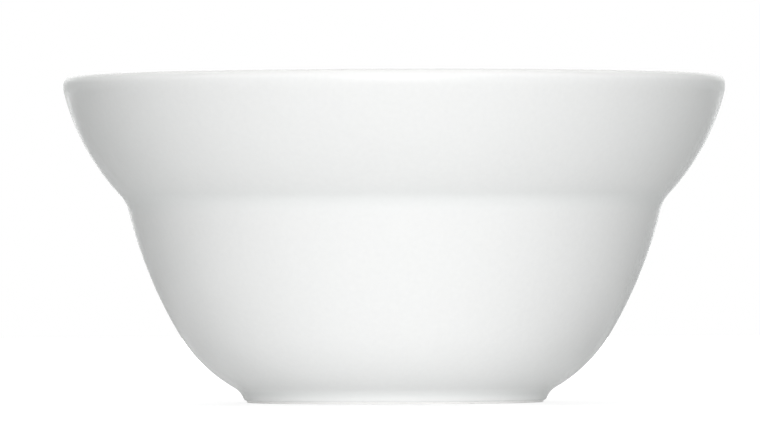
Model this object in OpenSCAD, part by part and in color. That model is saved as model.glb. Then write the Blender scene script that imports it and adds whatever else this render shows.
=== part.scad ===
// Soup cup without handles: one porcelain bowl with a flared collar above a crease, a rounded base
// and a low foot ring, under a thin glaze that is wiped off the ring on which the cup stands.
// Lengths are in millimetres, angles in degrees. +Z is up, and the origin is the centre of the
// standing ring, on the table. Every piece is a profile of tangent arcs, turned about Z.

/* [Rim and lip] */
// Outside diameter of the rim
rim_d = 120; // [110:0.5:132]
// Height of the cup, from the table to the top of the lip
cup_h = 59.3; // [54:0.1:66]
// Height of the upright strip between the rounded lip and the turn into the flare
lip_strip_h = 0.3; // [0.1:0.1:3]
// Outside radius of the turn from the upright strip into the flare
lip_turn_r = 5.25; // [4.6:0.05:9]

/* [Collar] */
// Outside radius of the flared wall of the collar
flare_r = 42; // [34:0.5:60]
// Outside diameter at the corner of the crease, before its fillet
crease_d = 97.2; // [90:0.2:104]
// Height of that corner above the table
crease_z = 36.5; // [32:0.5:41]
// Radius of the fillet in the crease, on the outside
crease_fillet_r = 6.5; // [1:0.25:8]

/* [Bowl] */
// Outside radius of the bowl's side
side_r = 80; // [66:1:110]
// Outside radius of the bowl's rounded base
base_r = 27.5; // [24:0.5:30]
// Slope of the base where it meets the foot, from the horizontal
base_slope = 27.5; // [22:0.5:34]

/* [Foot] */
// Outside diameter at the corner between the base and the foot, before its fillet
foot_top_d = 56.4; // [52:0.2:60]
// Height of that corner above the table
foot_h = 2.2; // [2:0.05:4]
// Slant of the foot's outside, from the vertical
foot_slant = 27; // [20:1:40]
// Radius of the fillet between the base and the foot
foot_fillet_r = 4; // [0.5:0.1:4.5]
// Width of the flat ring on which the cup stands
stand_w = 2.2; // [1.2:0.1:4]
// Radius of the rounded edges of that ring
stand_edge_r = 0.25; // [0.2:0.05:0.5]
// Depth of the recess inside the foot ring
recess_depth = 2.4; // [2:0.1:4]
// Slant of the recess's side, from the vertical
recess_slant = 30; // [5:1:45]
// Radius of the fillet round the top of the recess
recess_fillet_r = 1.2; // [0.5:0.1:1.5]

/* [Walls] */
// Thickness of the wall, glaze included
wall = 3.4; // [3:0.1:4.5]
// Thickness of the floor in the middle, glaze included
floor_t = 4.2; // [3:0.1:6]
// Inside radius of the turn from the side down to the flat floor
well_r = 24; // [18:0.5:30]

/* [Glaze] */
// Thickness of the glaze
glaze_t = 0.25; // [0.15:0.05:0.4]
// Height of the bare clay left round the foot, on either side of the standing ring
bare_h = 0.45; // [0.4:0.05:0.65]

/* [Hidden] */
// Largest gap between an arc and the chords that draw it
arc_gap = 0.008;
// Points closer than this are one point
same_point = 0.001;
// Millilitres in a cubic millimetre
ml_per_mm3 = 0.001;
$fn = 180;

// A point at a distance r from c, in the direction of the angle a
function polar(c, r, a) = c + r * [cos(a), sin(a)];
// The direction from p to q
function heading(p, q) = atan2(q[1] - p[1], q[0] - p[0]);
// The turn from the angle a0 to the angle a1, the short way round
function short_turn(a0, a1) =
    let (turn = (a1 - a0) % 360)
    turn > 180 ? turn - 360 : turn < -180 ? turn + 360 : turn;
// The points of an arc about c from the angle a0 to the angle a1
function arc(c, r, a0, a1) =
    let (turn = short_turn(a0, a1))
    let (n = ceil(abs(turn) / (2 * acos(1 - arc_gap / r))))
    [for (i = [0:n]) polar(c, r, a0 + turn * i / n)];
// Where the circles about c1 and c2 cross, on the left of the line from c1 to c2
function crossing(c1, r1, c2, r2) =
    let (d = norm(c2 - c1))
    let (u = (c2 - c1) / d)
    let (along = (d * d + r1 * r1 - r2 * r2) / (2 * d))
    c1 + along * u + sqrt(r1 * r1 - along * along) * [-u[1], u[0]];
// Where a line from p in the direction t first enters the circle about c
function line_meets_circle(p, t, c, r) =
    let (v = p - c)
    p + (-v * t - sqrt((v * t) * (v * t) - v * v + r * r)) * t;
// Where a line from p in the direction t reaches the height z
function line_at_height(p, t, z) = p + (z - p[1]) / t[1] * t;
function reversed(path) = [for (i = [len(path) - 1:-1:0]) path[i]];
function without_repeats(path) =
    [for (i = [0:len(path) - 1]) if (i == 0 || norm(path[i] - path[i - 1]) > same_point) path[i]];
// Volume inside a profile that is turned about Z, summed as slices of a cone
function turned_volume(path) = PI / 3 * sum_slices(path, len(path) - 1);
function sum_slices(path, i) =
    i == 0 ? 0 : sum_slices(path, i - 1) + abs(path[i][1] - path[i - 1][1]) *
        (pow(path[i][0], 2) + path[i][0] * path[i - 1][0] + pow(path[i - 1][0], 2));

// Centres of the arcs of the outside, each tangent to the next
lip_r = wall / 2;
lip_c = [rim_d / 2 - lip_r, cup_h - lip_r];
turn_c = [rim_d / 2 - lip_turn_r, cup_h - lip_r - lip_strip_h];
crease_p = [crease_d / 2, crease_z];
flare_c = crossing(crease_p, flare_r, turn_c, flare_r - lip_turn_r);
foot_p = [foot_top_d / 2, foot_h];
base_c = polar(foot_p, base_r, 90 + base_slope);
side_c = crossing(base_c, side_r - base_r, crease_p, side_r);
crease_c = crossing(flare_c, flare_r + crease_fillet_r, side_c, side_r + crease_fillet_r);

// The foot's outside: its upward direction, its outward normal and the fillet that meets the base
foot_up = [sin(foot_slant), cos(foot_slant)];
foot_out = [cos(foot_slant), -sin(foot_slant)];
foot_fillet_c = line_meets_circle(
    foot_p + foot_fillet_r * foot_out,
    foot_up,
    base_c,
    base_r + foot_fillet_r
);

// The standing ring: centres of its outer and inner rounded edges, set in the bare clay
stand_outer_c = line_at_height(foot_p - (glaze_t + stand_edge_r) * foot_out, foot_up, stand_edge_r);
stand_inner_c = stand_outer_c - [stand_w, 0];

// The recess: its side's upward direction and outward normal, and the fillet under its ceiling
recess_up = [-sin(recess_slant), cos(recess_slant)];
recess_out = [-cos(recess_slant), -sin(recess_slant)];
recess_side_p = stand_inner_c + stand_edge_r * recess_out;
recess_fillet_c = line_at_height(
    recess_side_p + (glaze_t + recess_fillet_r) * recess_out,
    recess_up,
    recess_depth - recess_fillet_r
);

// The inside: the flat floor and the centre of the turn up into the side
floor_z = recess_depth + floor_t;
well_c = let (rise = floor_z + well_r - side_c[1], reach = side_r - wall - well_r)
    [side_c[0] + sqrt(reach * reach - rise * rise), floor_z + well_r];

// The wall at a depth d below the finished outside, from the upright strip down to the bowl's side
function collar_path(d) = concat(
    arc(turn_c, lip_turn_r - d, 0, heading(flare_c, turn_c)),
    arc(flare_c, flare_r - d, heading(flare_c, turn_c), heading(flare_c, crease_c)),
    arc(crease_c, crease_fillet_r + d, heading(crease_c, flare_c), heading(crease_c, side_c))
);

// The outside at a depth d, from the upright strip down to the foot's slanted side
function outside_path(d) = concat(
    collar_path(d),
    arc(side_c, side_r - d, heading(side_c, crease_c), heading(side_c, base_c)),
    arc(base_c, base_r - d, heading(side_c, base_c), heading(base_c, foot_fillet_c)),
    arc(foot_fillet_c, foot_fillet_r + d, heading(foot_fillet_c, base_c), 180 - foot_slant)
);

// The inside with the wall w thick above it, from the upright strip down to the middle of the floor
function inside_path(w) = concat(
    collar_path(w),
    arc(side_c, side_r - w, heading(side_c, crease_c), heading(side_c, well_c)),
    arc(well_c, well_r + wall - w, heading(side_c, well_c), -90),
    [[0, floor_z + w - wall]]
);

// The rounded lip at a depth d, from the inside over to the outside
function lip_path(d) = arc(lip_c, lip_r - d, 180, 0);

// The recess at a depth d below its finished surface, from its side to the middle of its ceiling
function recess_path(d) = concat(
    arc(recess_fillet_c, recess_fillet_r + d, recess_slant, 90),
    [[0, recess_depth + d]]
);

// Centres of the quarter rounds in which the glaze ends, on the clay above the bare strips
foot_edge_c = line_at_height(foot_p - glaze_t * foot_out, foot_up, bare_h) + glaze_t * foot_up;
recess_edge_c = line_at_height(recess_side_p, recess_up, bare_h) + glaze_t * recess_up;

echo(str("Brimful capacity, ml: ", turned_volume(inside_path(wall)) * ml_per_mm3));
echo(str("Standing ring, outside diameter, mm: ", 2 * stand_outer_c[0]));

module turned(path) {
    rotate_extrude() polygon(without_repeats(path));
}

// The fired clay: bowl, floor and foot ring in one piece, bare where the cup stands
module porcelain_body() {
    color("ivory") turned(concat(
        reversed(inside_path(wall - glaze_t)),
        lip_path(glaze_t),
        outside_path(glaze_t),
        arc(stand_outer_c, stand_edge_r, -foot_slant, -90),
        arc(stand_inner_c, stand_edge_r, -90, recess_slant - 180),
        recess_path(glaze_t)
    ));
}

// The glaze over the outside, the lip and the inside, in one unbroken skin
module glaze_coat() {
    color("white") turned(concat(
        reversed(inside_path(wall)),
        lip_path(0),
        outside_path(0),
        arc(foot_edge_c, glaze_t, -foot_slant, -foot_slant - 90),
        reversed(outside_path(glaze_t)),
        reversed(lip_path(glaze_t)),
        inside_path(wall - glaze_t)
    ));
}

// The patch of glaze in the recess under the floor, cut off from the rest by the bare standing ring
module recess_glaze() {
    color("white") turned(concat(
        reversed(recess_path(0)),
        arc(recess_edge_c, glaze_t, recess_slant - 180, recess_slant - 90),
        recess_path(glaze_t)
    ));
}

porcelain_body();
glaze_coat();
recess_glaze();
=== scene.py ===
# %% [markdown]
# # A glazed porcelain soup cup
# The cup is one lump of fired white clay under a thin skin of glass. It has no handles, print or
# joints, so its looks rest on two things: the curve of its wall, and how gloss glaze sits on white
# clay. The fixed model is loaded first and stays where it is. Each new piece is then drawn in its
# place, in metres, and takes over from the plain solid.

# %% Load the fixed model
import math

import bpy
from mathutils import Matrix, Vector


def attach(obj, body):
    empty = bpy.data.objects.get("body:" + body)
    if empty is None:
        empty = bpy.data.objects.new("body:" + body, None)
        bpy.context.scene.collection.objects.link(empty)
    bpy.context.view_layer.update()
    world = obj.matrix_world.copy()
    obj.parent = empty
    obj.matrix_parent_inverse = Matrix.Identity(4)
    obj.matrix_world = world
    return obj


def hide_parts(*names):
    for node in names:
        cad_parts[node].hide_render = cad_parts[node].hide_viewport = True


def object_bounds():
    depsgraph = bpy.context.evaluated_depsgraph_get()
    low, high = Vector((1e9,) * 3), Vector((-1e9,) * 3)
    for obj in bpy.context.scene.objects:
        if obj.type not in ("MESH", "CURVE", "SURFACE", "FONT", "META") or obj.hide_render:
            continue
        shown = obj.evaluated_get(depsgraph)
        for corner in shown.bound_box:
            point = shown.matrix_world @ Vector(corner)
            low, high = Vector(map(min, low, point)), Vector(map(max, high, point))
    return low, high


MM = 0.001
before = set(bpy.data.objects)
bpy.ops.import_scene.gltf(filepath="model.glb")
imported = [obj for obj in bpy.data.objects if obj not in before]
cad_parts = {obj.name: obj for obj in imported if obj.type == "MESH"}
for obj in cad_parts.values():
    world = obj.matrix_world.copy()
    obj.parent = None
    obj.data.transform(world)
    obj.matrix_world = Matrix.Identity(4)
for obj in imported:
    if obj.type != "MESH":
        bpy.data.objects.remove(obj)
cad_low, cad_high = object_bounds()
print("Solids of the model:", sorted(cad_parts))
print("Its box in mm:", [round(side / MM, 2) for side in cad_high - cad_low])

# %% [markdown]
# ## The wall as a chain of arcs
# A template for this cup is made of round stretches: the turn under the lip, the flare of the
# collar, the hollow of the crease, the side of the bowl, its rounded base and the hollow above the
# foot. Each runs into the next without a corner. A curve drawn by eye would show every small bump in
# the gloss, so only radii and a few corner points are chosen here, and the centres of the arcs are
# worked out from where circles cross.

# %% Sizes of the cup
rim_r = cad_high.x
cup_h = cad_high.z
wall = 3.4 * MM
glaze_t = 0.25 * MM
lip_r = wall / 2
lip_strip_h = 0.3 * MM
lip_turn_r = 5.25 * MM
flare_r = 42 * MM
crease_p = Vector((48.6, 36.5)) * MM
crease_fillet_r = 6.5 * MM
side_r = 80 * MM
base_r = 27.5 * MM
base_slope = 27.5
print("Rim across, mm:", round(2 * rim_r / MM, 2), "and height, mm:", round(cup_h / MM, 2))

# %% Sizes of the foot and the floor
foot_p = Vector((28.2, 2.2)) * MM
foot_slant = 27
foot_fillet_r = 4 * MM
stand_w = 2.2 * MM
stand_edge_r = 0.25 * MM
recess_depth = 2.4 * MM
recess_slant = 30
recess_fillet_r = 1.2 * MM
floor_t = 4.2 * MM
floor_z = recess_depth + floor_t
well_r = 24 * MM
bare_h = 0.45 * MM
print("Floor above the table, mm:", round(floor_z / MM, 2))

# %% Points and directions in the plane of the profile
ORIGIN = Vector((0, 0))


def polar(centre, radius, degrees):
    angle = math.radians(degrees)
    return centre + radius * Vector((math.cos(angle), math.sin(angle)))


def heading(start, end):
    way = end - start
    return math.degrees(math.atan2(way.y, way.x))


def crossing(c1, r1, c2, r2):
    """Where two circles cross, on the left of the line from c1 to c2."""
    gap = (c2 - c1).length
    ahead = (c2 - c1) / gap
    along = (gap * gap + r1 * r1 - r2 * r2) / (2 * gap)
    aside = math.sqrt(r1 * r1 - along * along)
    return c1 + along * ahead + aside * Vector((-ahead.y, ahead.x))


def line_meets_circle(point, way, centre, radius):
    """Where a line first enters a circle."""
    offset = point - centre
    half_chord = math.sqrt(offset.dot(way) ** 2 - offset.dot(offset) + radius ** 2)
    return point - (offset.dot(way) + half_chord) * way


def line_at_height(point, way, height):
    return point + (height - point.y) / way.y * way


print("Slope from the foot's corner up to the crease, degrees:", round(heading(foot_p, crease_p), 1))

# %% Centres of the arcs in the wall
lip_c = Vector((rim_r - lip_r, cup_h - lip_r))
turn_c = Vector((rim_r - lip_turn_r, cup_h - lip_r - lip_strip_h))
flare_c = crossing(crease_p, flare_r, turn_c, flare_r - lip_turn_r)
base_c = polar(foot_p, base_r, 90 + base_slope)
side_c = crossing(base_c, side_r - base_r, crease_p, side_r)
crease_c = crossing(flare_c, flare_r + crease_fillet_r, side_c, side_r + crease_fillet_r)
well_rise = floor_z + well_r - side_c.y
well_reach = side_r - wall - well_r
well_c = Vector((side_c.x + math.sqrt(well_reach ** 2 - well_rise ** 2), floor_z + well_r))
print("Lean of the flare at the crease, degrees:", round(-heading(flare_c, crease_c), 1))
print("Lean of the side at the crease, degrees:", round(-heading(side_c, crease_c), 1))

# %% Centres of the arcs in the foot
foot_up = polar(ORIGIN, 1, 90 - foot_slant)
foot_out = polar(ORIGIN, 1, -foot_slant)
fillet_line = foot_p + foot_fillet_r * foot_out
foot_fillet_c = line_meets_circle(fillet_line, foot_up, base_c, base_r + foot_fillet_r)
stand_line = foot_p - (glaze_t + stand_edge_r) * foot_out
stand_outer_c = line_at_height(stand_line, foot_up, stand_edge_r)
stand_inner_c = stand_outer_c - Vector((stand_w, 0))
recess_up = polar(ORIGIN, 1, 90 + recess_slant)
recess_out = polar(ORIGIN, 1, recess_slant - 180)
recess_side_p = stand_inner_c + stand_edge_r * recess_out
recess_line = recess_side_p + (glaze_t + recess_fillet_r) * recess_out
recess_fillet_c = line_at_height(recess_line, recess_up, recess_depth - recess_fillet_r)
foot_edge_c = line_at_height(foot_p - glaze_t * foot_out, foot_up, bare_h) + glaze_t * foot_up
recess_edge_c = line_at_height(recess_side_p, recess_up, bare_h) + glaze_t * recess_up
print("Standing ring across, mm:", round(2 * stand_outer_c.x / MM, 2))

# %% [markdown]
# ## Parallel surfaces
# The clay lies a quarter of a millimetre under the glaze, and the inside lies a wall's thickness
# under the outside. A surface parallel to an arc keeps the arc's centre and takes another radius. So
# each stretch below is a list of arcs (centre, radius, first angle, last angle) at a depth under the
# finished surface, and one list serves the glaze, the clay and the inside.

# %% Stretches of the profile
def collar_arcs(depth):
    """From under the lip down to the bowl's side."""
    flare_top = heading(flare_c, turn_c)
    flare_end = heading(flare_c, crease_c)
    return [
        (turn_c, lip_turn_r - depth, 0, flare_top),
        (flare_c, flare_r - depth, flare_top, flare_end),
        (crease_c, crease_fillet_r + depth, flare_end + 180, heading(crease_c, side_c)),
    ]


def outside_arcs(depth):
    """From under the lip down to the foot's slanted side."""
    side_end = heading(side_c, base_c)
    return collar_arcs(depth) + [
        (side_c, side_r - depth, heading(side_c, crease_c), side_end),
        (base_c, base_r - depth, side_end, heading(base_c, foot_fillet_c)),
        (foot_fillet_c, foot_fillet_r + depth, heading(foot_fillet_c, base_c), 180 - foot_slant),
    ]


def inside_arcs(depth):
    """From under the lip down to the edge of the flat floor."""
    side_end = heading(side_c, well_c)
    return collar_arcs(depth) + [
        (side_c, side_r - depth, heading(side_c, crease_c), side_end),
        (well_c, well_r + wall - depth, side_end, -90),
    ]


def lip_arcs(depth):
    """From the inside over the lip to the outside, in two quarter turns."""
    return [(lip_c, lip_r - depth, 180, 90), (lip_c, lip_r - depth, 90, 0)]


def recess_arcs(depth):
    """From the recess's slanted side to its flat ceiling."""
    return [(recess_fillet_c, recess_fillet_r + depth, recess_slant, 90)]


def backwards(arcs):
    return [(centre, radius, last, first) for centre, radius, first, last in reversed(arcs)]


print("Arcs in the outside:", len(outside_arcs(0)), "and in the inside:", len(inside_arcs(wall)))

# %% [markdown]
# ## Drawing a profile and turning it
# By hand, a turned shape starts as one vertex. Extrude draws the straight stretches, and Spin about
# an arc's centre draws the round ones. The closed chain is then spun once about the cup's axis. A
# curve with the Screw modifier would do too, but Spin puts every point exactly on its radius, so
# that pieces with a common arc really touch.

# %% A pen that extrudes and spins
CHORD_GAP = 0.004 * MM
SAME_POINT = 0.0005 * MM


def deselect_all():
    if bpy.context.object and bpy.context.object.mode != "OBJECT":
        bpy.ops.object.mode_set(mode="OBJECT")
    bpy.ops.object.select_all(action="DESELECT")


def set_down_pen(name, point):
    """A new object in edit mode, with one selected vertex in the plane y = 0."""
    deselect_all()
    bpy.ops.mesh.primitive_plane_add(size=MM, location=(0, 0, 0))
    bpy.context.object.name = name
    bpy.ops.object.mode_set(mode="EDIT")
    bpy.ops.mesh.select_all(action="SELECT")
    bpy.ops.mesh.merge(type="CENTER")
    bpy.ops.transform.translate(value=(point.x, 0, point.y))


def straight_to(tip, point):
    move = point - tip
    if move.length > SAME_POINT:
        bpy.ops.mesh.extrude_vertices_move(TRANSFORM_OT_translate={"value": (move.x, 0, move.y)})
    return point


def arc_steps(radius, turn):
    """So many steps that no chord is further than CHORD_GAP from the arc."""
    return math.ceil(abs(turn) / (2 * math.degrees(math.acos(1 - CHORD_GAP / radius))))


def round_to(tip, centre, radius, first, last):
    """An arc the short way round."""
    straight_to(tip, polar(centre, radius, first))
    turn = (last - first + 180) % 360 - 180
    bpy.ops.mesh.spin(
        steps=arc_steps(radius, turn),
        angle=math.radians(turn),
        center=(centre.x, 0, centre.y),
        axis=(0, 1, 0),
    )
    return polar(centre, radius, last)


print("Steps over the rounded lip:", 2 * arc_steps(lip_r, 90))

# %% Turn a chain of points and arcs about the cup's axis
TURN_STEPS = 256
SMOOTH_BELOW = 40


def turned(name, chain):
    set_down_pen(name, chain[0])
    tip = chain[0]
    for stretch in chain[1:]:
        if isinstance(stretch, Vector):
            tip = straight_to(tip, stretch)
        else:
            tip = round_to(tip, *stretch)
    bpy.ops.mesh.select_all(action="SELECT")
    bpy.ops.mesh.spin(steps=TURN_STEPS, angle=math.tau, center=(0, 0, 0), axis=(0, 0, 1))
    bpy.ops.mesh.select_all(action="SELECT")
    bpy.ops.mesh.remove_doubles(threshold=SAME_POINT)
    bpy.ops.mesh.normals_make_consistent(inside=False)
    bpy.ops.object.mode_set(mode="OBJECT")
    bpy.ops.object.shade_smooth_by_angle(angle=math.radians(SMOOTH_BELOW))
    return bpy.context.object


def replace_solid(piece, node):
    """The piece takes over from a solid of the model, and says how fine it is."""
    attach(piece, "root")
    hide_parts(node)
    triangles = sum(len(face.vertices) - 2 for face in piece.data.polygons)
    print(piece.name, "replaces", node, "with", triangles, "triangles")


print("Chord gap round the rim, mm:", round(rim_r * (1 - math.cos(math.pi / TURN_STEPS)) / MM, 4))

# %% [markdown]
# ## The glaze coat
# The glaze runs unbroken from the foot up the outside, over the lip and down to the middle of the
# floor. It could be a colour on the clay, but then nothing would show where it stops. So it is a
# closed skin: the finished surface one way, a rounded edge above the foot, and the clay side back. An
# extra ring of points just inside the flat floor's edge keeps the floor's shading flat.

# %% Turn the glaze coat
FLAT_RIM = Vector((0.6 * MM, 0))
floor_edge = Vector((well_c.x, floor_z)) - FLAT_RIM
glaze_under = Vector((0, glaze_t))
glaze = turned(
    "glaze_coat_skin",
    [Vector((0, floor_z)), floor_edge]
    + backwards(inside_arcs(wall))
    + lip_arcs(0)
    + outside_arcs(0)
    + [(foot_edge_c, glaze_t, -foot_slant, -foot_slant - 90)]
    + backwards(outside_arcs(glaze_t))
    + backwards(lip_arcs(glaze_t))
    + inside_arcs(wall - glaze_t)
    + [floor_edge - glaze_under, Vector((0, floor_z)) - glaze_under],
)
replace_solid(glaze, "glaze_coat")

# %% [markdown]
# ## The clay body
# The clay shows only at the foot, on the ring that is wiped clean so that the cup doesn't stick to
# the kiln shelf. A ring at the foot would be enough for a picture. The whole body is turned all the
# same, because it fills the glaze, and because a ring alone would end in the air.

# %% Turn the clay body
recess_top = Vector((0, recess_depth + glaze_t))
body = turned(
    "porcelain_bisque",
    [Vector((0, floor_z)) - glaze_under, floor_edge - glaze_under]
    + backwards(inside_arcs(wall - glaze_t))
    + lip_arcs(glaze_t)
    + outside_arcs(glaze_t)
    + [(stand_outer_c, stand_edge_r, -foot_slant, -90)]
    + [(stand_inner_c, stand_edge_r, -90, recess_slant - 180)]
    + recess_arcs(glaze_t)
    + [recess_top],
)
replace_solid(body, "porcelain_body")

# %% [markdown]
# ## The glaze in the recess
# Inside the foot ring the underside is glazed again. The bare ring parts this patch from the rest of
# the glaze. It could be left to a mask in the glaze's material, but it is a skin with an edge of its
# own, so it is drawn and turned as a piece in the same way.

# %% Turn the recess glaze
recess_edge = Vector((recess_fillet_c.x, recess_depth)) - FLAT_RIM
recess = turned(
    "recess_glaze_skin",
    [Vector((0, recess_depth)), recess_edge]
    + backwards(recess_arcs(0))
    + [(recess_edge_c, glaze_t, recess_slant - 180, recess_slant - 90)]
    + recess_arcs(glaze_t)
    + [recess_edge + glaze_under, recess_top],
)
replace_solid(recess, "recess_glaze")

# %% [markdown]
# ## Shaders as formulas
# Nodes are usually wired by hand in the Shader Editor, but a finish is easier to read as a formula
# than as a picture of nodes. The class below wraps one socket: adding, subtracting or multiplying
# adds a Math node, and one method makes any other node.

# %% A socket that takes part in formulas
class Socket:
    def __init__(self, tree, socket=None):
        self.tree = tree
        self.socket = socket

    def node(self, kind, settings, inputs, output=0):
        made = self.tree.nodes.new("ShaderNode" + kind)
        for name, value in settings.items():
            setattr(made, name, value)
        for name, value in inputs.items():
            if isinstance(value, Socket):
                self.tree.links.new(value.socket, made.inputs[name])
            else:
                made.inputs[name].default_value = value
        return Socket(self.tree, made.outputs[output])

    def maths(self, operation, first, second):
        return self.node("Math", {"operation": operation}, {0: first, 1: second})

    def __add__(self, other):
        return self.maths("ADD", self, other)

    def __sub__(self, other):
        return self.maths("SUBTRACT", self, other)

    def __rsub__(self, other):
        return self.maths("SUBTRACT", other, self)

    def __mul__(self, other):
        return self.maths("MULTIPLY", self, other)

    __radd__ = __add__
    __rmul__ = __mul__


print("Sockets can now be added, subtracted and multiplied")

# %% Nodes that the finishes share
def new_finish(name):
    """A material, its shader, and an empty socket from which nodes are added."""
    finish = bpy.data.materials.new(name)
    finish.use_nodes = True
    return finish, finish.node_tree.nodes["Principled BSDF"], Socket(finish.node_tree)


def feed(shader, values):
    for name, value in values.items():
        if isinstance(value, Socket):
            shader.id_data.links.new(value.socket, shader.inputs[name])
        else:
            shader.inputs[name].default_value = value


def noise(nodes, place, size, detail=1):
    """Soft random values from 0 to 1, in blobs of about a size in metres."""
    return nodes.node("TexNoise", {}, {"Vector": place, "Scale": 1 / size, "Detail": detail}, "Fac")


def rise(nodes, value, low, high):
    """0 below low, 1 above high, and smooth between."""
    limits = {"Value": value, "From Min": low, "From Max": high}
    return nodes.node("MapRange", {"interpolation_type": "SMOOTHSTEP"}, limits)


def band(nodes, value, middle, half):
    """1 in the middle of a band and 0 outside it."""
    return rise(nodes, value, middle - half, middle) * (1 - rise(nodes, value, middle, middle + half))


def blend(nodes, share, first, second):
    """The colour first, with a share of the colour second."""
    return nodes.node("Mix", {"data_type": "RGBA"}, {0: share, 6: first, 7: second}, 2)


def shade(red, green, blue):
    return (red, green, blue, 1)


print("Shared nodes: noise, rise, band and blend")

# %% [markdown]
# ## The white glaze
# The glaze is glass over white clay. Tiny bubbles in it make it faintly milky and uneven. It pools in
# the hollow of the crease, where it looks a little cooler and greyer, and runs thin over the lip,
# where the warmer clay shows through. Low on the foot, a cooler and greyer band is painted shade. A
# few specks come up from the clay. The
# surface isn't quite flat: it has slow waves and a fine skin like an orange's, and only reflections
# show them. A painted picture could hold all this, but it would need an unwrapped surface and would
# show its pixels close by. So it is worked out from Object coordinates, which give the place on the
# cup.

# %% Specks in the glaze
SPECK_CELL = 5 * MM
SPECK_SHARE = 0.07
SPECK_STEP = 0.01
SPECK_CORE = 0.012
SPECK_EDGE = 0.035


def specks(nodes, place):
    """1 on a few small dots: the middles of some of the cells that a Voronoi texture makes."""
    cells = {"Vector": place, "Scale": 1 / SPECK_CELL}
    distance = nodes.node("TexVoronoi", {}, cells, "Distance")
    lot = nodes.node("TexVoronoi", {}, cells, "Color")
    lot = nodes.node("SeparateColor", {}, {"Color": lot}, "Red")
    chosen = rise(nodes, lot, 1 - SPECK_SHARE, 1 - SPECK_SHARE + SPECK_STEP)
    return (1 - rise(nodes, distance, SPECK_CORE, SPECK_EDGE)) * chosen


print("Specks in", round(100 * SPECK_SHARE), "% of cells", round(SPECK_CELL / MM), "mm wide")

# %% Colour of the glaze
BUBBLES = 0.9 * MM
BUBBLE_SHARE = 0.7
MILK_DARK = shade(0.777, 0.783, 0.779)
MILK_LIGHT = shade(0.829, 0.835, 0.829)
CREASE_POOL = 3.5 * MM
CREASE_SHARE = 0.25
CREASE_COLOUR = shade(0.765, 0.79, 0.785)
# Painted shade: a cooler, greyer band low on the foot, set by its middle height, half width, share and
# colour
FOOT_SHADE_Z = 1.7 * MM
FOOT_SHADE_HALF = 1.2 * MM
FOOT_SHADE_SHARE = 0.65
FOOT_SHADE_COLOUR = shade(0.70, 0.715, 0.708)
THIN_LIP = 1.2 * MM
LIP_SHARE = 0.35
LIP_COLOUR = shade(0.80, 0.785, 0.76)
SPECK_STRENGTH = 0.45
SPECK_COLOUR = shade(0.42, 0.38, 0.33)


def glaze_colour(nodes, place, cloud):
    height = nodes.node("SeparateXYZ", {}, {"Vector": place}, "Z")
    crease_pool = band(nodes, height, crease_p.y, CREASE_POOL)
    # Painted shade: the band low on the foot, blended in below
    painted_foot_shade = band(nodes, height, FOOT_SHADE_Z, FOOT_SHADE_HALF)
    thin = rise(nodes, height, cup_h - THIN_LIP, cup_h)
    bubbles = noise(nodes, place, BUBBLES, detail=2)
    milky = cloud * (1 - BUBBLE_SHARE) + bubbles * BUBBLE_SHARE
    colour = blend(nodes, milky, MILK_DARK, MILK_LIGHT)
    colour = blend(nodes, crease_pool * CREASE_SHARE, colour, CREASE_COLOUR)
    colour = blend(nodes, painted_foot_shade * FOOT_SHADE_SHARE, colour, FOOT_SHADE_COLOUR)
    colour = blend(nodes, thin * LIP_SHARE, colour, LIP_COLOUR)
    return blend(nodes, specks(nodes, place) * SPECK_STRENGTH, colour, SPECK_COLOUR)


# The second height is the middle of the band of painted shade on the foot
print("Glaze pools at heights, mm:", round(crease_p.y / MM, 1), "and", round(FOOT_SHADE_Z / MM, 1))

# %% Surface of the glaze
CLOUDS = 30 * MM
WAVES = 15 * MM
WAVE_DEPTH = 0.03 * MM
PEEL = 1.3 * MM
PEEL_SHARE = 0.12
GLAZE_ROUGHNESS = 0.10
CLOUD_ROUGHNESS = 0.06
GLASS_IOR = 1.5


def white_glaze():
    finish, shader, nodes = new_finish("white_glaze")
    place = nodes.node("TexCoord", {}, {}, "Object")
    cloud = noise(nodes, place, CLOUDS, detail=2)
    swell = noise(nodes, place, WAVES) + noise(nodes, place, PEEL) * PEEL_SHARE
    surface = nodes.node("Bump", {}, {"Height": swell, "Distance": WAVE_DEPTH}, "Normal")
    rough = GLAZE_ROUGHNESS + cloud * CLOUD_ROUGHNESS
    colour = glaze_colour(nodes, place, cloud)
    feed(shader, {"Base Color": colour, "Roughness": rough, "Normal": surface, "IOR": GLASS_IOR})
    print(finish.name, "has", len(finish.node_tree.nodes), "nodes")
    return finish


glaze_finish = white_glaze()
glaze.data.materials.append(glaze_finish)
recess.data.materials.append(glaze_finish)

# %% [markdown]
# ## The bare clay
# Without glaze the clay is matte and a little warmer, with a fine grain. The face on which the cup
# stands has been ground smooth and rubs on tables, so it is a little greyer in streaks. Grain this
# fine could be modelled only with millions of faces, so a Bump node tilts the shading instead.

# %% Colour of the bare clay
CLAY_DARK = shade(0.84, 0.836, 0.824)
CLAY_LIGHT = shade(0.885, 0.882, 0.872)
GRAIN_RISE = (0.6, 0.75)
GRAIN_SHARE = 0.3
GRAIN_COLOUR = shade(0.68, 0.672, 0.66)
STREAKS = 1.5 * MM
STREAK_RISE = (0.45, 0.65)
RUBBED_SHARE = 0.4
RUBBED_COLOUR = shade(0.5, 0.495, 0.485)


def clay_colour(nodes, place, cloud, grain, stands):
    rubbed = stands * rise(nodes, noise(nodes, place, STREAKS, detail=3), *STREAK_RISE)
    colour = blend(nodes, cloud, CLAY_DARK, CLAY_LIGHT)
    colour = blend(nodes, rise(nodes, grain, *GRAIN_RISE) * GRAIN_SHARE, colour, GRAIN_COLOUR)
    return blend(nodes, rubbed * RUBBED_SHARE, colour, RUBBED_COLOUR)


print("Rubbed streaks are about", round(STREAKS / MM, 1), "mm wide")

# %% Surface of the bare clay
CLAY_CLOUDS = 5 * MM
GRAIN = 0.22 * MM
GRAIN_DEPTH = 0.02 * MM
GROUND_FLAT = (0.03 * MM, 0.15 * MM)
CLAY_ROUGHNESS = 0.72
CLOUD_ROUGHER = 0.15
GROUND_SMOOTHER = 0.25


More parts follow.
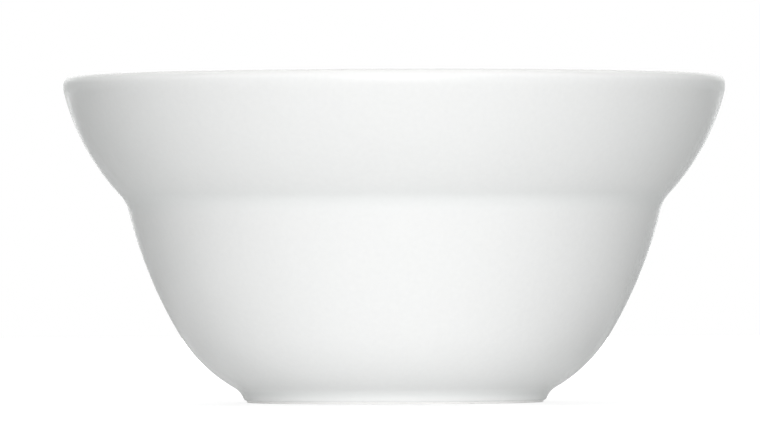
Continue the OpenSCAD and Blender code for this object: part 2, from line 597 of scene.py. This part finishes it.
def bare_clay():
    finish, shader, nodes = new_finish("bare_clay")
    place = nodes.node("TexCoord", {}, {}, "Object")
    height = nodes.node("SeparateXYZ", {}, {"Vector": place}, "Z")
    cloud = noise(nodes, place, CLAY_CLOUDS, detail=2)
    grain = noise(nodes, place, GRAIN, detail=3)
    stands = 1 - rise(nodes, height, *GROUND_FLAT)
    surface = nodes.node("Bump", {}, {"Height": grain, "Distance": GRAIN_DEPTH}, "Normal")
    rough = CLAY_ROUGHNESS + cloud * CLOUD_ROUGHER - stands * GROUND_SMOOTHER
    colour = clay_colour(nodes, place, cloud, grain, stands)
    feed(shader, {"Base Color": colour, "Roughness": rough, "Normal": surface})
    print(finish.name, "has", len(finish.node_tree.nodes), "nodes")
    return finish


body.data.materials.append(bare_clay())

# %% [markdown]
# ## The white table
# The photograph is a studio shot on plain white. White on white works when the cup is a little darker
# than what is behind it. A wide soft light by the camera makes the middle bright, the sides face
# less light and fall off, and the table lights the cup from below. A table lit by lamps alone would
# do, but its brightness would then hang on every lamp. So it also glows by itself, in rings: a little
# dimmer under the foot than beside it, dimmest round the cup, and brighter again far off. Close to
# the cup, it is dimmed on the left and right. To the camera it is almost white all over.

# %% White table
TABLE_R = 1.5
TABLE_SIDES = 96
deselect_all()
bpy.ops.mesh.primitive_circle_add(
    vertices=TABLE_SIDES, radius=TABLE_R, fill_type="NGON", location=(0, 0, 0)
)
table_top = bpy.context.object
table_top.name = "studio_table"
print(table_top.name, "is", 2 * TABLE_R, "m across")

# %% Rings of glow round the cup
UNDER_FOOT = shade(0.415, 0.42, 0.418)
BESIDE_FOOT = shade(0.494, 0.5, 0.498)
ROUND_CUP = shade(0.172, 0.183, 0.178)
FAR_OFF = shade(0.382, 0.396, 0.392)
BESIDE_FROM = (0.027, 0.037)
ROUND_FROM = (0.05, 0.12)
FAR_FROM = (0.4, 0.7)
finish, shader, nodes = new_finish("white_table")
place = nodes.node("TexCoord", {}, {}, "Object")
away = nodes.node("VectorMath", {"operation": "LENGTH"}, {0: place}, "Value")
far = rise(nodes, away, *FAR_FROM)
glow = blend(nodes, rise(nodes, away, *BESIDE_FROM), UNDER_FOOT, BESIDE_FOOT)
glow = blend(nodes, rise(nodes, away, *ROUND_FROM), glow, ROUND_CUP)
glow = blend(nodes, far, glow, FAR_OFF)
print("The glow falls off from", ROUND_FROM[0], "to", ROUND_FROM[1], "m from the axis")

# %% Dimmer patches to the left and right
DIM_FROM = (0.036, 0.05)
DIM_TO = (0.06, 0.1)
ASIDE = (0.4, 1)
DIM_RIGHT = 0.4
DIM_LEFT = 0.18
BLACK = shade(0, 0, 0)
way = nodes.node("VectorMath", {"operation": "NORMALIZE"}, {0: place}, "Vector")
to_right = nodes.node("SeparateXYZ", {}, {"Vector": way}, "X")
to_left = 0 - to_right
dim = rise(nodes, to_right, *ASIDE) * DIM_RIGHT + rise(nodes, to_left, *ASIDE) * DIM_LEFT
dim = dim * rise(nodes, away, *DIM_FROM) * (1 - rise(nodes, away, *DIM_TO))
glow = blend(nodes, dim, glow, BLACK)
print("Dimmed by", DIM_RIGHT, "on the right and", DIM_LEFT, "on the left")

# %% The table as the gloss and the camera see it
DIM_IN_GLOSS = 0.4
WHITE = shade(1, 1, 1)
NEAR_TO_CAMERA = shade(0.7, 0.7, 0.7)
TABLE_PAINT = shade(0.35, 0.35, 0.35)
TABLE_ROUGHNESS = 0.9
in_gloss = nodes.node("LightPath", {}, {}, "Is Glossy Ray")
seen = nodes.node("LightPath", {}, {}, "Is Camera Ray")
glow = blend(nodes, in_gloss * DIM_IN_GLOSS, glow, BLACK)
glow = blend(nodes, seen, glow, blend(nodes, far, NEAR_TO_CAMERA, WHITE))
feed(shader, {"Base Color": TABLE_PAINT, "Roughness": TABLE_ROUGHNESS})
feed(shader, {"Emission Color": glow, "Emission Strength": 1})
table_top.data.materials.append(finish)
print(finish.name, "has", len(finish.node_tree.nodes), "nodes")

# %% [markdown]
# ## Soft lights
# Gloss shows lamps as mirror images, and strong ones would hide the soft shading of the photograph.
# One lamp could do both jobs, but here each wide light is a pair: a key that lights the cup and has no
# image in the glaze, and a panel that has one. A panel is brightest in the middle, as a lamp behind a
# cloth is, so that its image has no hard edge.

# %% A light that faces the cup
MIDDLE = (0.5, 0.5, 0)
FADE = (0.1, 0.5)


def soften(lamp):
    """Full strength in the middle of the lamp, and none at its edge."""
    lamp.use_nodes = True
    nodes = Socket(lamp.node_tree)
    spot = nodes.node("NewGeometry", {}, {}, "Parametric")
    off_middle = nodes.node("VectorMath", {"operation": "DISTANCE"}, {0: spot, 1: MIDDLE}, "Value")
    feed(lamp.node_tree.nodes["Emission"], {"Strength": 1 - rise(nodes, off_middle, *FADE)})


def softbox(name, away, side, lift, wide, high, radiance, mirrored):
    """An oval light that faces the cup, turned from the front and lifted by so many degrees."""
    flat = polar(ORIGIN, away * math.cos(math.radians(lift)), side - 90)
    place = Vector((flat.x, flat.y, away * math.sin(math.radians(lift))))
    bpy.ops.object.light_add(type="AREA", location=place)
    light = bpy.context.object
    light.name = name
    light.rotation_euler = (-place).to_track_quat("-Z", "Y").to_euler()
    light.data.shape = "ELLIPSE"
    light.data.size = wide
    light.data.size_y = high
    oval = math.pi / 4 * wide * high
    light.data.energy = math.pi * oval * radiance
    light.visible_camera = False
    light.visible_glossy = mirrored
    if mirrored:
        soften(light.data)
    print(name, "gives", round(light.data.energy, 1), "W")
    return light


print("Panels fade from", FADE[0], "to", FADE[1], "of their width off the middle")

# %% Keys without a mirror image
KEY_COLOUR = (1, 0.992, 0.997)
front_key = softbox(
    "front_key", away=1.5, side=1.7, lift=14, wide=1.35, high=0.9, radiance=6.35, mirrored=False
)
front_key.data.color = KEY_COLOUR
softbox("top_key", away=1.4, side=0, lift=90, wide=1.1, high=1.1, radiance=2.1, mirrored=False)
softbox("back_key", away=1.5, side=183, lift=20, wide=1.3, high=0.9, radiance=7.1, mirrored=False)

# %% Panels with a mirror image
softbox("front_panel", away=1.5, side=0, lift=16, wide=1.8, high=1.1, radiance=1.3, mirrored=True)
softbox("top_panel", away=1.4, side=0, lift=90, wide=1.3, high=1.3, radiance=4.4, mirrored=True)
softbox("back_panel", away=1.5, side=180, lift=14, wide=2.1, high=0.9, radiance=0.4, mirrored=True)

# %% [markdown]
# ## The surroundings
# Near its outline the glaze mirrors what stands behind and beside it. In a black room the cup would
# get a dark rim there, which the photograph doesn't have. A tent of white cloth could be built, but a
# pale World does the same. It gives the cup next to no light, is pale in the gloss, and is white to
# the camera.

# %% Pale surroundings
TENT_COLOUR = shade(0.98, 1, 0.99)
AMBIENT = 0.03
IN_GLOSS = 0.7
world = bpy.data.worlds.new("studio")
bpy.context.scene.world = world
world.use_nodes = True
around = Socket(world.node_tree)
seen = around.node("LightPath", {}, {}, "Is Camera Ray")
in_gloss = around.node("LightPath", {}, {}, "Is Glossy Ray")
tint = blend(around, seen, TENT_COLOUR, WHITE)
strength = AMBIENT + seen * (1 - AMBIENT) + in_gloss * IN_GLOSS
feed(world.node_tree.nodes["Background"], {"Color": tint, "Strength": strength})
print("Surroundings in the gloss:", AMBIENT + IN_GLOSS)

# %% [markdown]
# ## The camera
# In the photograph the lip curves up in the middle and the foot curves down, so the lens was level
# with the cup's middle. How much they curve gives the distance. The lens follows from the size of
# the rim in the frame, and the frame leans a fraction of a degree. A camera could be moved by hand
# until the picture fits, but a few pixels measured in the photograph place it exactly.

# %% Camera at the photograph's angle
FRAME_W = 760
FRAME_H = 441
RIM_PX = 661.5
AXIS_PX = 394.6
TABLE_PX = 402.3
SENSOR_W = 36
AWAY = 1.7
EYE_Z = 25 * MM
LEAN = -0.17
per_px = 2 * rim_r / RIM_PX
aim = Vector(((FRAME_W / 2 - AXIS_PX) * per_px, 0, (TABLE_PX - FRAME_H / 2) * per_px))
eye = Vector((aim.x, -AWAY, EYE_Z))
bpy.ops.object.camera_add(location=eye)
camera = bpy.context.object
camera.name = "photo_camera"
look = (aim - eye).to_track_quat("-Z", "Y").to_matrix()
camera.rotation_euler = (look @ Matrix.Rotation(math.radians(LEAN), 3, "Z")).to_euler()
camera.data.sensor_width = SENSOR_W
camera.data.lens = SENSOR_W * (aim - eye).length / (FRAME_W * per_px)
bpy.context.scene.camera = camera
bpy.context.scene.view_settings.view_transform = "Standard"
print("Lens, mm:", round(camera.data.lens, 1))
